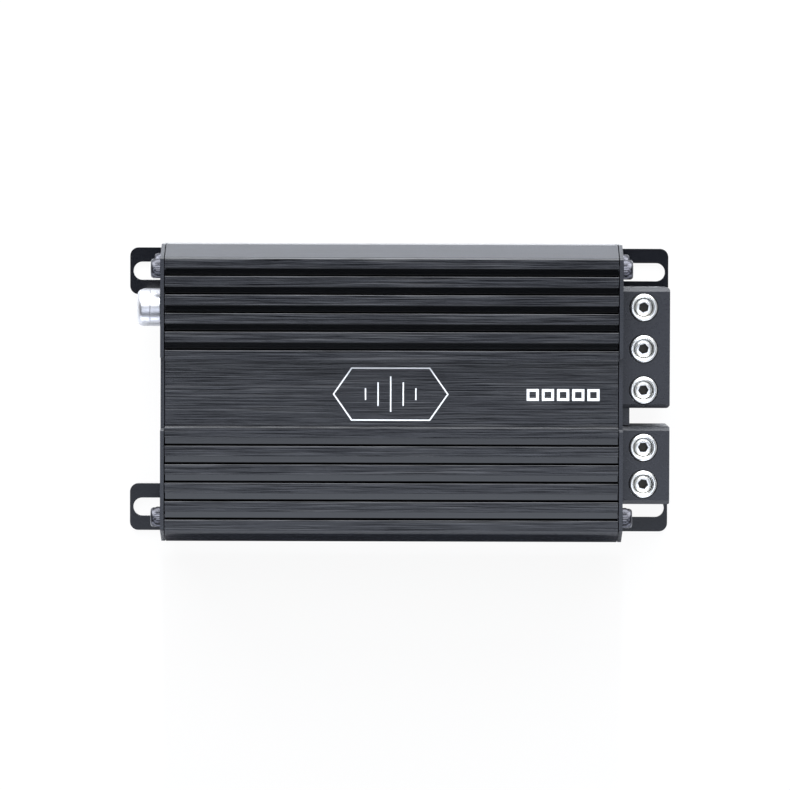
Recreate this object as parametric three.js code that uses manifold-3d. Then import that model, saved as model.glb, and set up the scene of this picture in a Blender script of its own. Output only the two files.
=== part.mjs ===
// Compact mono car amplifier: a finned aluminium case on a slotted steel base plate,
// with an input end (left, -X) and a power end with five screw terminals (right, +X).
// Millimetres, +Z up. The origin is under the middle of the whole object, on the mounting surface.

import * as THREE from 'three';
import { mergeVertices } from 'three/addons/utils/BufferGeometryUtils.js';
import Module from 'manifold-3d';

const wasm = await Module();
wasm.setup();

// ---------------------------------------------------------------- driving dimensions

const BODY_LENGTH = 124.9; // over both end plates
const BODY_WIDTH = 80.7;
const BODY_HEIGHT = 38; // mounting surface to the top of the fins
const INPUT_EAR_REACH = 9.8; // mounting ears past the input end plate
const POWER_EAR_REACH = 13.8; // mounting ears past the power end plate
const SEAM = 0.25; // visible joint between the casing pieces
const CLEARANCE = 0.3; // gap around pieces that pass through others

const PANEL_HALF = 9; // flat panel along the middle of the top
const PANEL_RECESS = 3; // panel below the fin tops
const FIN_WIDTH = 2.8;
const GROOVE_WIDTH = 2.2;
const GROOVE_DEPTH = 3.5;
const FINS_PER_SIDE = 6;
const SHOULDER_DROP = 10; // height of the sloping shoulder
const WALL = 3;
const ROOF_UNDERSIDE = BODY_HEIGHT - GROOVE_DEPTH - 2.5;

const SHEET = 1.5; // base plate thickness
const END_PLATE = 1;

const EAR_WIDTH = 12.9;
const EAR_OUTER_Y = 39.05;
const EAR_CORNER = 2.3;
const EAR_ROOT = 1; // fillet where an ear meets the plate
const SLOT_WIDTH = 5;
const SLOT_CENTRE_Y = 32.6;
const SLOT_RIM = 0.9; // metal left outside the round end of a slot

const END_SCREW = { headRadius: 2.65, headHeight: 2.8, shankRadius: 1.5, length: 8, socket: 2.5 };
const UPPER_SCREW = { y: 33.7, z: 31 };
const LOWER_SCREW = { y: 34.9, z: 7 };
const SCREW_PORT_RADIUS = 1.75;
const BASE_SCREW = { headRadius: 2.5, shankRadius: 1.2, length: 4.4, y: 34.8 };

const BOARD = { halfWidth: 31, thickness: 1.6, bottom: 4.5, length: 118 };
const BOARD_SCREW = { y: 27.5, holeRadius: 1.7, postRadius: 2.8, threadRadius: 1.3 };

const TERMINAL = {
  width: 8.2,
  length: 9.6,
  bottom: 6.4,
  top: 17,
  neckRadius: 3.75,
  neckTop: 25.5,
  screwHoleRadius: 2.72,
  wireRadius: 3.1,
  wireZ: 11,
};
const TERMINAL_X = 66.5;
const POWER_TERMINALS_Y = { remote: 23.4, supply: 12.15, ground: 0.9 };
const SPEAKER_TERMINALS_Y = { positive: -14.7, negative: -24.7 };
const COVER = { reach: 13.2, bottom: 4.8, top: 25, wall: 1.5, bevel: 1.1 };
const POWER_COVER_Y = [-4, 28.8];
const SPEAKER_COVER_Y = [-30.2, -9];

const SET_SCREW = { radius: 2.48, faceRadius: 2.0, length: 7, socket: 2.5, belowNeckTop: 0.9 };

const JACK_Y = 23;
const JACK_UPPER_Z = 25;
const JACK_LOWER_Z = 11.8;
const JACK = { radius: 5, neckRadius: 4.1, innerRadius: 3.3, reach: 6.6, nose: 1.4, contactRadius: 1.9 };

const CONTROLS_Y = { gain: 4.5, filter: -5, bass: -14.5 };
const CONTROL_Z = 12.6;
const REMOTE_SOCKET = { y: -25.5, width: 12, height: 11.5, depth: 15, mouthWidth: 9.6, mouthHeight: 6.6 };
const STATUS_LIGHT = { y: 13, z: 9.6, radius: 1.5 };

// ---------------------------------------------------------------- derived places

const OVERALL_LENGTH = INPUT_EAR_REACH + BODY_LENGTH + POWER_EAR_REACH;
const INPUT_FACE_X = -OVERALL_LENGTH / 2 + INPUT_EAR_REACH;
const POWER_FACE_X = OVERALL_LENGTH / 2 - POWER_EAR_REACH;
const CASE_START_X = INPUT_FACE_X + END_PLATE + SEAM;
const CASE_END_X = POWER_FACE_X - END_PLATE - SEAM;
const CASE_BOTTOM = SHEET + SEAM;
const HALF_WIDTH = BODY_WIDTH / 2;
const INNER_HALF = HALF_WIDTH - WALL;
const SHOULDER_TOP_Y = PANEL_HALF + FINS_PER_SIDE * FIN_WIDTH + (FINS_PER_SIDE - 1) * GROOVE_WIDTH;
const SHOULDER_BOTTOM_Z = BODY_HEIGHT - SHOULDER_DROP;
const PANEL_Z = BODY_HEIGHT - PANEL_RECESS;
const BOARD_TOP = BOARD.bottom + BOARD.thickness;
const BOARD_START_X = INPUT_FACE_X + END_PLATE + 1.2;
const BODY_MIDDLE_X = (INPUT_FACE_X + POWER_FACE_X) / 2;

// ---------------------------------------------------------------- materials

function paint(color, roughness, metalness) {
  return () => new THREE.MeshStandardMaterial({ color, roughness, metalness });
}

const blackAnodised = paint(0x35363c, 0.42, 0.8);
const blackSteel = paint(0x26272b, 0.5, 0.6);
const darkChrome = paint(0x77787c, 0.25, 1);
const greyPlastic = paint(0x3b3c41, 0.6, 0);
const blackPlastic = paint(0x1c1c1e, 0.55, 0);
const nickel = paint(0xd9d9d6, 0.2, 1);
const whitePlastic = paint(0xeeeeea, 0.45, 0);
const redPlastic = paint(0xb0201c, 0.45, 0);
const greenBoard = paint(0x1f5a38, 0.5, 0);
const zincSteel = paint(0xb6b8bb, 0.35, 0.9);
const ferriteWinding = paint(0xa8602c, 0.4, 0.7);
const capacitorSleeve = paint(0x1d2a44, 0.45, 0.1);
const greyPad = paint(0x9a9ca0, 0.8, 0);
const clearLens = paint(0xbfd6e8, 0.15, 0);

// ---------------------------------------------------------------- solids

function toManifold(geometry) {
  const bare = geometry.clone();
  bare.deleteAttribute('normal');
  bare.deleteAttribute('uv');
  const merged = mergeVertices(bare, 1e-4);
  const index = merged.index.array;
  const triangles = [];
  for (let i = 0; i < index.length; i += 3) {
    const [a, b, c] = [index[i], index[i + 1], index[i + 2]];
    if (a !== b && b !== c && c !== a) {
      triangles.push(a, b, c);
    }
  }
  const mesh = new wasm.Mesh({
    numProp: 3,
    vertProperties: new Float32Array(merged.attributes.position.array),
    triVerts: new Uint32Array(triangles),
  });
  return new wasm.Manifold(mesh);
}

function toGeometry(solid) {
  const mesh = solid.getMesh();
  const geometry = new THREE.BufferGeometry();
  geometry.setAttribute('position', new THREE.BufferAttribute(mesh.vertProperties, 3));
  geometry.setIndex(new THREE.BufferAttribute(mesh.triVerts, 1));
  geometry.computeVertexNormals();
  return geometry;
}

// The first geometry with the others joined to it.
function join(first, ...others) {
  return toGeometry(others.reduce((solid, other) => solid.add(toManifold(other)), toManifold(first)));
}

// The first geometry with the others cut away from it.
function cut(first, ...tools) {
  return toGeometry(tools.reduce((solid, tool) => solid.subtract(toManifold(tool)), toManifold(first)));
}

// A box given by its lowest and highest corners.
function block([x0, y0, z0], [x1, y1, z1]) {
  const geometry = new THREE.BoxGeometry(x1 - x0, y1 - y0, z1 - z0);
  return geometry.translate((x0 + x1) / 2, (y0 + y1) / 2, (z0 + z1) / 2);
}

const ALONG_X = new THREE.Matrix4().makeBasis(
  new THREE.Vector3(0, 1, 0),
  new THREE.Vector3(0, 0, 1),
  new THREE.Vector3(1, 0, 0),
);

// An outline drawn in the YZ plane, swept along X.
function sweepX(shape, x0, x1, curveSegments = 6) {
  const geometry = new THREE.ExtrudeGeometry(shape, { depth: x1 - x0, bevelEnabled: false, curveSegments });
  return geometry.applyMatrix4(ALONG_X).translate(x0, 0, 0);
}

// An outline drawn in the XY plane, swept up Z.
function sweepZ(shape, z0, z1, curveSegments = 6) {
  const geometry = new THREE.ExtrudeGeometry(shape, { depth: z1 - z0, bevelEnabled: false, curveSegments });
  return geometry.translate(0, 0, z0);
}

// A solid of revolution from [radius, height] pairs, standing up Z from the origin.
function turnedZ(profile, segments) {
  const points = profile.map(([radius, height]) => new THREE.Vector2(radius, height));
  return new THREE.LatheGeometry(points, segments).rotateX(Math.PI / 2);
}

// The same, lying along +X.
function turnedX(profile, segments) {
  return turnedZ(profile, segments).rotateY(Math.PI / 2);
}

// A round rod along Z between two heights, about the axis through (x, y).
function rodZ(radius, x, y, z0, z1, segments = 16) {
  return new THREE.CylinderGeometry(radius, radius, z1 - z0, segments)
    .rotateX(Math.PI / 2)
    .translate(x, y, (z0 + z1) / 2);
}

// A round rod along X between two ends, about the axis through (y, z).
function rodX(radius, y, z, x0, x1, segments = 16) {
  return new THREE.CylinderGeometry(radius, radius, x1 - x0, segments)
    .rotateZ(Math.PI / 2)
    .translate((x0 + x1) / 2, y, z);
}

// An outline through [a, b] points, turned counter-clockwise so that its holes cut the right way.
function outline(points) {
  const corners = points.map(([a, b]) => new THREE.Vector2(a, b));
  if (THREE.ShapeUtils.isClockWise(corners)) {
    corners.reverse();
  }
  return new THREE.Shape(corners);
}

function roundHole(a, b, radius) {
  const path = new THREE.Path();
  path.absarc(a, b, radius, 0, Math.PI * 2, true);
  return path;
}

const amplifier = new THREE.Group();

function place(name, geometry, material) {
  const mesh = new THREE.Mesh(geometry, material());
  mesh.name = name;
  amplifier.add(mesh);
  return mesh;
}

const bothSides = [1, -1];

// ---------------------------------------------------------------- casing

// Top edge of the case from the middle panel out to the shoulder, as [y, z] for y > 0.
function finnedHalf() {
  const points = [];
  let y = PANEL_HALF;
  points.push([y, PANEL_Z]);
  for (let fin = 0; fin < FINS_PER_SIDE; fin += 1) {
    points.push([y, BODY_HEIGHT], [y + FIN_WIDTH, BODY_HEIGHT]);
    y += FIN_WIDTH;
    if (fin < FINS_PER_SIDE - 1) {
      points.push([y, BODY_HEIGHT - GROOVE_DEPTH], [y + GROOVE_WIDTH, BODY_HEIGHT - GROOVE_DEPTH]);
      y += GROOVE_WIDTH;
    }
  }
  points.push([HALF_WIDTH, SHOULDER_BOTTOM_Z]);
  return points;
}

// Inside of one half of the case: side wall with a thick foot and a thick upper corner for the screws.
function innerHalf() {
  const footInner = LOWER_SCREW.y - 2.9;
  const footTop = LOWER_SCREW.z + 3;
  const cornerInner = UPPER_SCREW.y - 3.1;
  const cornerBottom = UPPER_SCREW.z - 2.9;
  return [
    [footInner, CASE_BOTTOM],
    [footInner, footTop],
    [INNER_HALF, footTop],
    [INNER_HALF, cornerBottom],
    [cornerInner, cornerBottom],
    [cornerInner, ROOF_UNDERSIDE],
  ];
}

function mirrored(points) {
  return points.map(([y, z]) => [-y, z]).reverse();
}

function screwPorts() {
  return [UPPER_SCREW, LOWER_SCREW].flatMap(({ y, z }) => bothSides.map((side) => [side * y, z]));
}

function baseScrewPlaces() {
  const fromMiddle = BODY_LENGTH / 2 - 20;
  const endXs = [BODY_MIDDLE_X - fromMiddle, BODY_MIDDLE_X + fromMiddle];
  return endXs.flatMap((x) => bothSides.map((side) => [x, side * BASE_SCREW.y]));
}

function heatsinkCase() {
  const right = [...finnedHalf(), [HALF_WIDTH, CASE_BOTTOM]];
  const inner = innerHalf();
  const profile = outline([...mirrored(right), ...right, ...inner, ...mirrored(inner)]);
  profile.holes = screwPorts().map(([y, z]) => roundHole(y, z, SCREW_PORT_RADIUS));
  const depth = BASE_SCREW.length + CLEARANCE;
  const taps = baseScrewPlaces().map(([x, y]) => rodZ(BASE_SCREW.shankRadius + 0.15, x, y, 0, depth, 10));
  return cut(sweepX(profile, CASE_START_X, CASE_END_X, 3), ...taps);
}

// Mounting ear from x0 under the body out to x1, with rounded outer corners.
function earShape(x0, x1, side) {
  const outerY = side * EAR_OUTER_Y;
  const innerY = side * (EAR_OUTER_Y - EAR_WIDTH);
  const turn = Math.sign(x1 - x0);
  const clockwise = turn * side < 0;
  const cornerX = x1 - turn * EAR_CORNER;
  const sideways = turn > 0 ? 0 : Math.PI;
  const outwards = (side * Math.PI) / 2;
  const shape = new THREE.Shape();
  shape.moveTo(x0, innerY);
  shape.lineTo(cornerX, innerY);
  shape.absarc(cornerX, innerY + side * EAR_CORNER, EAR_CORNER, -outwards, sideways, clockwise);
  shape.absarc(cornerX, outerY - side * EAR_CORNER, EAR_CORNER, sideways, outwards, clockwise);
  shape.lineTo(x0, outerY);
  return shape;
}

// Fillet in the corner between the plate's end and the inner edge of an ear.
function earRoot(faceX, turn, side) {
  const y = side * (EAR_OUTER_Y - EAR_WIDTH);
  const web = block(
    [Math.min(faceX - turn, faceX + turn * EAR_ROOT), Math.min(y + side, y - side * EAR_ROOT), 0],
    [Math.max(faceX - turn, faceX + turn * EAR_ROOT), Math.max(y + side, y - side * EAR_ROOT), SHEET],
  );
  return cut(web, rodZ(EAR_ROOT, faceX + turn * EAR_ROOT, y - side * EAR_ROOT, -1, SHEET + 1, 24));
}

// Mounting slot from just under the body out to the rim at the ear's end.
function slotTool(bodyX, tipX, side) {
  const turn = Math.sign(tipX - bodyX);
  const centreX = tipX - turn * (SLOT_RIM + SLOT_WIDTH / 2);
  const y = side * SLOT_CENTRE_Y;
  const straight = block(
    [Math.min(bodyX, centreX), y - SLOT_WIDTH / 2, -1],
    [Math.max(bodyX, centreX), y + SLOT_WIDTH / 2, SHEET + 1],
  );
  return join(straight, rodZ(SLOT_WIDTH / 2, centreX, y, -1, SHEET + 1, 20));
}

function countersink(x, y) {
  const { headRadius, shankRadius } = BASE_SCREW;
  const grow = 0.15;
  const profile = [
    [0, -1],
    [headRadius + grow + 1, -1],
    [shankRadius + grow, SHEET - 0.1],
    [shankRadius + grow, SHEET + 1],
    [0, SHEET + 1],
  ];
  return turnedZ(profile, 12).translate(x, y, 0);
}

function boardPostPlaces() {
  const nearInput = BOARD_START_X + 17;
  const nearPower = BOARD_START_X + BOARD.length - 12;
  return [nearInput, nearPower].flatMap((x) => bothSides.map((side) => [x, side * BOARD_SCREW.y]));
}

function basePlate() {
  const plate = block(
    [INPUT_FACE_X, -EAR_OUTER_Y, 0],
    [POWER_FACE_X, EAR_OUTER_Y, SHEET],
  );
  const tipInput = INPUT_FACE_X - INPUT_EAR_REACH;
  const tipPower = POWER_FACE_X + POWER_EAR_REACH;
  const ears = bothSides.flatMap((side) => [
    sweepZ(earShape(INPUT_FACE_X + 1, tipInput, side), 0, SHEET, 4),
    sweepZ(earShape(POWER_FACE_X - 1, tipPower, side), 0, SHEET, 4),
    earRoot(INPUT_FACE_X, -1, side),
    earRoot(POWER_FACE_X, 1, side),
  ]);
  const places = boardPostPlaces();
  const posts = places.map(([x, y]) => rodZ(BOARD_SCREW.postRadius, x, y, SHEET - 0.5, BOARD.bottom, 12));
  const slots = bothSides.flatMap((side) => [
    slotTool(INPUT_FACE_X + 0.6, tipInput, side),
    slotTool(POWER_FACE_X - 0.6, tipPower, side),
  ]);
  const holes = [
    ...baseScrewPlaces().map(([x, y]) => countersink(x, y)),
    ...places.map(([x, y]) => rodZ(BOARD_SCREW.threadRadius, x, y, -1, BOARD.bottom + 1, 8)),
  ];
  return cut(join(plate, ...ears, ...posts), ...slots, ...holes);
}

function endPlateOutline() {
  const right = [
    [PANEL_HALF + 0.75, PANEL_Z],
    [PANEL_HALF + 0.75, BODY_HEIGHT],
    [SHOULDER_TOP_Y, BODY_HEIGHT],
    [HALF_WIDTH, SHOULDER_BOTTOM_Z],
    [HALF_WIDTH, CASE_BOTTOM],
  ];
  const profile = outline([...mirrored(right), ...right]);
  const holeRadius = END_SCREW.shankRadius + 0.2;
  profile.holes = screwPorts().map(([y, z]) => roundHole(y, z, holeRadius));
  return profile;
}

function endPlateInput() {
  const profile = endPlateOutline();
  const shellHole = JACK.neckRadius + 0.5;
  profile.holes.push(roundHole(JACK_Y, JACK_UPPER_Z, shellHole), roundHole(JACK_Y, JACK_LOWER_Z, shellHole));
  Object.values(CONTROLS_Y).forEach((y) => profile.holes.push(roundHole(y, CONTROL_Z, 2.6)));
  profile.holes.push(roundHole(STATUS_LIGHT.y, STATUS_LIGHT.z, STATUS_LIGHT.radius + CLEARANCE));
  const { y, mouthWidth, mouthHeight } = REMOTE_SOCKET;
  const socketZ = BOARD_TOP + REMOTE_SOCKET.height / 2;
  const window = new THREE.Path([
    new THREE.Vector2(y - mouthWidth / 2 - 0.4, socketZ - mouthHeight / 2 - 0.4),
    new THREE.Vector2(y - mouthWidth / 2 - 0.4, socketZ + mouthHeight / 2 + 0.4),
    new THREE.Vector2(y + mouthWidth / 2 + 0.4, socketZ + mouthHeight / 2 + 0.4),
    new THREE.Vector2(y + mouthWidth / 2 + 0.4, socketZ - mouthHeight / 2 - 0.4),
  ]);
  profile.holes.push(window);
  return sweepX(profile, INPUT_FACE_X, INPUT_FACE_X + END_PLATE, 4);
}

// Window through which a row of terminals reaches the board.
function terminalWindow(places) {
  const ys = Object.values(places);
  const margin = TERMINAL.width / 2 - 1;
  return block(
    [POWER_FACE_X - END_PLATE - 1, Math.min(...ys) - margin, TERMINAL.bottom - 0.6],
    [POWER_FACE_X + 1, Math.max(...ys) + margin, TERMINAL.bottom + 3],
  );
}

function endPlatePower() {
  const plate = sweepX(endPlateOutline(), POWER_FACE_X - END_PLATE, POWER_FACE_X, 4);
  return cut(plate, terminalWindow(POWER_TERMINALS_Y), terminalWindow(SPEAKER_TERMINALS_Y));
}

// ---------------------------------------------------------------- screws

function hexSocket(acrossFlats, z0, z1) {
  const radius = acrossFlats / Math.sqrt(3);
  return new THREE.CylinderGeometry(radius, radius, z1 - z0, 6)
    .rotateX(Math.PI / 2)
    .translate(0, 0, (z0 + z1) / 2);
}

// Socket cap screw along Z: the head stands up from z = 0 and the shank goes down.
function capScrew({ headRadius, headHeight, shankRadius, length, socket }) {
  const profile = [
    [0, -length],
    [shankRadius, -length],
    [shankRadius, 0.1],
    [headRadius, 0.1],
    [headRadius, headHeight - 0.3],
    [headRadius - 0.3, headHeight],
    [0, headHeight],
  ];
  return cut(turnedZ(profile, 14), hexSocket(socket, headHeight - 1.5, headHeight + 1));
}

function placeEndScrews() {
  const places = [
    ['upper_rear', UPPER_SCREW, 1],
    ['upper_front', UPPER_SCREW, -1],
    ['lower_rear', LOWER_SCREW, 1],
    ['lower_front', LOWER_SCREW, -1],
  ];
  const ends = [
    ['input', INPUT_FACE_X, -1],
    ['power', POWER_FACE_X, 1],
  ];
  ends.forEach(([endName, faceX, direction]) => {
    places.forEach(([placeName, { y, z }, side]) => {
      const screw = place(`end_screw_${endName}_${placeName}`, capScrew(END_SCREW), darkChrome);
      screw.rotation.y = (direction * Math.PI) / 2;
      screw.position.set(faceX, side * y, z);
    });
  });
}

// Countersunk screw along Z, its flat head just inside the underside of the base plate.
function countersunkScrew() {
  const { headRadius, shankRadius, length } = BASE_SCREW;
  const profile = [
    [0, 0.1],
    [headRadius, 0.1],
    [shankRadius, SHEET - 0.2],
    [shankRadius, length],
    [0, length],
  ];
  return cut(turnedZ(profile, 12), hexSocket(1.5, -1, 0.9));
}

function placeBaseScrews() {
  baseScrewPlaces().forEach(([x, y], i) => {
    place(`base_screw_${i + 1}`, countersunkScrew(), blackSteel).position.set(x, y, 0);
  });
}

// Pan head screw that holds the board to a post.
function boardScrew() {
  const profile = [
    [0, -3.4],
    [1.1, -3.4],
    [1.1, 0.1],
    [2.6, 0.1],
    [2.6, 1.1],
    [1.9, 1.7],
    [0, 1.7],
  ];
  return turnedZ(profile, 12);
}

function placeBoardScrews() {
  boardPostPlaces().forEach(([x, y], i) => {
    place(`board_screw_${i + 1}`, boardScrew(), zincSteel).position.set(x, y, BOARD_TOP);
  });
}

// ---------------------------------------------------------------- screw terminals

// Metal terminal: a block with a round neck for the clamping screw, a wire bore from the outside,
// and a tail that lies on the board.
function terminal(y) {
  const { width, length, bottom, top, neckRadius, neckTop, screwHoleRadius, wireRadius, wireZ } = TERMINAL;
  const x0 = TERMINAL_X - length / 2;
  const x1 = TERMINAL_X + length / 2;
  const body = block([x0, y - width / 2, bottom], [x1, y + width / 2, top]);
  const tail = block([BOARD_START_X + BOARD.length - 3, y - 2.2, bottom], [x0 + 1, y + 2.2, bottom + 1.6]);
  const neck = rodZ(neckRadius, TERMINAL_X, y, top - 1, neckTop, 20);
  const screwHole = rodZ(screwHoleRadius, TERMINAL_X, y, wireZ, neckTop + 1, 16);
  const wireBore = rodX(wireRadius, y, wireZ, x0 + 1.6, x1 + 1, 14);
  return cut(join(body, tail, neck), screwHole, wireBore);
}

function placeTerminals(kind, places) {
  Object.entries(places).forEach(([name, y]) => {
    place(`${kind}_terminal_${name}`, terminal(y), nickel);
    const screw = place(`${kind}_set_screw_${name}`, setScrew(), nickel);
    screw.position.set(TERMINAL_X, y, TERMINAL.neckTop - SET_SCREW.belowNeckTop);
  });
}

// Clamping screw hanging down from its socketed face at z = 0.
function setScrew() {
  const { radius, faceRadius, length, socket } = SET_SCREW;
  const profile = [
    [0, -length],
    [radius - 0.8, -length],
    [radius, -length + 0.8],
    [radius, -0.4],
    [faceRadius, 0],
    [0, 0],
  ];
  return cut(turnedZ(profile, 16), hexSocket(socket, -2.4, 1));
}

// Moulded cover over a row of terminals, open at the back towards the end plate.
function terminalCover([y0, y1], places) {
  const { reach, bottom, top, wall, bevel } = COVER;
  const back = POWER_FACE_X + SEAM;
  const front = POWER_FACE_X + reach;
  const side = outline([
    [y0, bottom],
    [y1, bottom],
    [y1, top - bevel],
    [y1 - bevel, top],
    [y0 + bevel, top],
    [y0, top - bevel],
  ]);
  const gap = CLEARANCE;
  const tools = Object.values(places).flatMap((y) => [
    block(
      [back - 1, y - TERMINAL.width / 2 - gap, TERMINAL.bottom - gap],
      [front - wall, y + TERMINAL.width / 2 + gap, TERMINAL.top + gap],
    ),
    rodZ(TERMINAL.neckRadius + gap, TERMINAL_X, y, TERMINAL.top - 1, top + 1, 20),
    rodX(TERMINAL.wireRadius + gap, y, TERMINAL.wireZ, front - wall - 1, front + 1, 14),
  ]);
  return cut(sweepX(side, back, front), ...tools);
}

// The cover of the power row has a low rib that fills the gap to the speaker row.
function powerTerminalCover() {
  const back = POWER_FACE_X + SEAM;
  const rib = block(
    [back, SPEAKER_COVER_Y[1] + CLEARANCE, COVER.bottom + 4],
    [back + 2.8, POWER_COVER_Y[0] + 0.3, COVER.top - 2],
  );
  return join(terminalCover(POWER_COVER_Y, POWER_TERMINALS_Y), rib);
}

// ---------------------------------------------------------------- input end

// Plated barrel of a phono jack; it is centred on its axis and opens towards -X at x = 0.
function jackShell() {
  const { radius, neckRadius, innerRadius, reach, nose } = JACK;
  const tail = reach + END_PLATE + 1;
  const profile = [
    [innerRadius, 0],
    [radius - nose, 0],
    [radius - nose * 0.3, nose * 0.3],
    [radius, nose],
    [radius, reach - SEAM],
    [neckRadius, reach - SEAM],
    [neckRadius, tail],
    [innerRadius, tail],
    [innerRadius, 0],
  ];
  return turnedX(profile, 16);
}

// Ring of plastic between the barrel and the centre contact.
function jackInsulator() {
  const inner = JACK.contactRadius + 0.2;
  const outer = JACK.innerRadius - 0.2;
  const profile = [
    [inner, 1],
    [outer, 1],
    [outer, JACK.reach],
    [inner, JACK.reach],
    [inner, 1],
  ];
  return turnedX(profile, 14);
}

// Split tube that takes the plug's pin.
function jackContact() {
  const { contactRadius, reach } = JACK;
  const bore = contactRadius - 0.3;
  const profile = [
    [bore, 1.2],
    [contactRadius, 1.2],
    [contactRadius, reach + 2.2],
    [0, reach + 2.2],
    [0, reach + 1.6],
    [bore, reach + 1.6],
    [bore, 1.2],
  ];
  return turnedX(profile, 12);
}

function placeJacks() {
  const mouthX = INPUT_FACE_X - JACK.reach;
  const jacks = [
    ['upper', JACK_UPPER_Z, whitePlastic],
    ['lower', JACK_LOWER_Z, redPlastic],
  ];
  jacks.forEach(([name, z, insulatorMaterial]) => {
    place(`jack_shell_${name}`, jackShell(), nickel).position.set(mouthX, JACK_Y, z);
    place(`jack_insulator_${name}`, jackInsulator(), insulatorMaterial).position.set(mouthX, JACK_Y, z);
    place(`jack_contact_${name}`, jackContact(), nickel).position.set(mouthX, JACK_Y, z);
  });
}

// Block behind the end plate that carries both jacks on the board.
function jackHousing() {
  const x0 = INPUT_FACE_X + END_PLATE + SEAM;
  const body = block([x0, JACK_Y - 5.4, BOARD_TOP + 0.1], [x0 + 12, JACK_Y + 5.4, 30.6]);
  const pocketRadius = JACK.neckRadius + CLEARANCE;
  const pockets = [JACK_UPPER_Z, JACK_LOWER_Z].map((z) => rodX(pocketRadius, JACK_Y, z, x0 - 1, x0 + 4, 14));
  return cut(body, ...pockets);
}

function controlBody(y) {
  const x0 = INPUT_FACE_X + END_PLATE + 1.4;
  const body = block([x0, y - 4.5, BOARD_TOP + 0.1], [x0 + 6, y + 4.5, CONTROL_Z + 4.6]);
  return cut(body, rodX(2, y, CONTROL_Z, x0 - 1, x0 + 3, 12));
}

// Slotted adjuster, its face just inside the end plate's hole; it lies along +X from x = 0.
function controlShaft() {
  const profile = [
    [0, 0],
    [2.0, 0],
    [2.2, 0.3],
    [2.2, 1.9],
    [1.7, 1.9],
    [1.7, 4.8],
    [0, 4.8],
  ];
  return cut(turnedX(profile, 12), block([-1, -0.35, -1.6], [0.8, 0.35, 1.6]));
}

function placeControls() {
  Object.entries(CONTROLS_Y).forEach(([name, y]) => {
    place(`${name}_control_body`, controlBody(y), blackPlastic);
    place(`${name}_control_shaft`, controlShaft(), whitePlastic)
      .position.set(INPUT_FACE_X + 0.2, y, CONTROL_Z);
  });
}

// Modular socket for the lead of the remote level control, its mouth towards -X.
function remoteSocket() {
  const { y, width, height, depth, mouthWidth, mouthHeight } = REMOTE_SOCKET;
  const x0 = INPUT_FACE_X + END_PLATE + SEAM;
  const z0 = BOARD_TOP + 0.1;
  const middleZ = BOARD_TOP + height / 2;
  const body = block([x0, y - width / 2, z0], [x0 + depth, y + width / 2, z0 + height]);
  const mouth = block(
    [x0 - 1, y - mouthWidth / 2, middleZ - mouthHeight / 2],
    [x0 + depth - 2, y + mouthWidth / 2, middleZ + mouthHeight / 2],
  );
  return cut(body, mouth);
}

// Two-colour indicator on bent leads; the lens fills its hole in the end plate.
function statusLight() {
  const { y, z, radius } = STATUS_LIGHT;
  const x0 = INPUT_FACE_X + 0.1;
  const lens = rodX(radius, y, z, x0, x0 + 4.5, 12);
  const lead = block([x0 + 3.5, y - 0.6, z - 0.25], [x0 + 7, y + 0.6, z + 0.25]);
  const drop = block([x0 + 6.5, y - 0.6, BOARD_TOP + 0.1], [x0 + 7, y + 0.6, z + 0.25]);
  return join(lens, lead, drop);
}

// ---------------------------------------------------------------- electronics

function circuitBoard() {
  const { halfWidth, thickness, bottom, length } = BOARD;
  const board = block(
    [BOARD_START_X, -halfWidth, bottom + 0.05],
    [BOARD_START_X + length, halfWidth, bottom + thickness],
  );
  const { holeRadius } = BOARD_SCREW;
  const holes = boardPostPlaces().map(([x, y]) => rodZ(holeRadius, x, y, bottom - 1, bottom + 3, 10));
  return cut(board, ...holes);
}

const TRANSISTOR = { width: 10, height: 14.5, thickness: 4.4, bottom: 11.5 };
const PAD_THICKNESS = 0.3;
const LEG_PITCH = 2.54;

// A box on one side of the case: y is measured from the middle outwards.
function sideBlock(side, [x0, y0, z0], [x1, y1, z1]) {
  const low = Math.min(side * y0, side * y1);
  const high = Math.max(side * y0, side * y1);
  return block([x0, low, z0], [x1, high, z1]);
}

// Power transistor standing against a side wall, with three legs cranked in to the board.
function transistor(x, side) {
  const { width, height, thickness, bottom } = TRANSISTOR;
  const backY = INNER_HALF - PAD_THICKNESS - 0.1;
  const body = sideBlock(
    side,
    [x - width / 2, backY - thickness, bottom],
    [x + width / 2, backY, bottom + height],
  );
  const legY = backY - 2.6;
  const footY = BOARD.halfWidth - 1.6;
  const crankZ = bottom - 0.8;
  const legs = [-LEG_PITCH, 0, LEG_PITCH].flatMap((offset) => {
    const x0 = x + offset - 0.4;
    const x1 = x + offset + 0.4;
    return [
      sideBlock(side, [x0, legY, crankZ], [x1, legY + 0.6, bottom + 1]),
      sideBlock(side, [x0, footY, crankZ], [x1, legY + 0.6, crankZ + 0.5]),
      sideBlock(side, [x0, footY, BOARD_TOP + 0.1], [x1, footY + 0.6, crankZ + 0.5]),
    ];
  });
  return join(body, ...legs);
}

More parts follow.
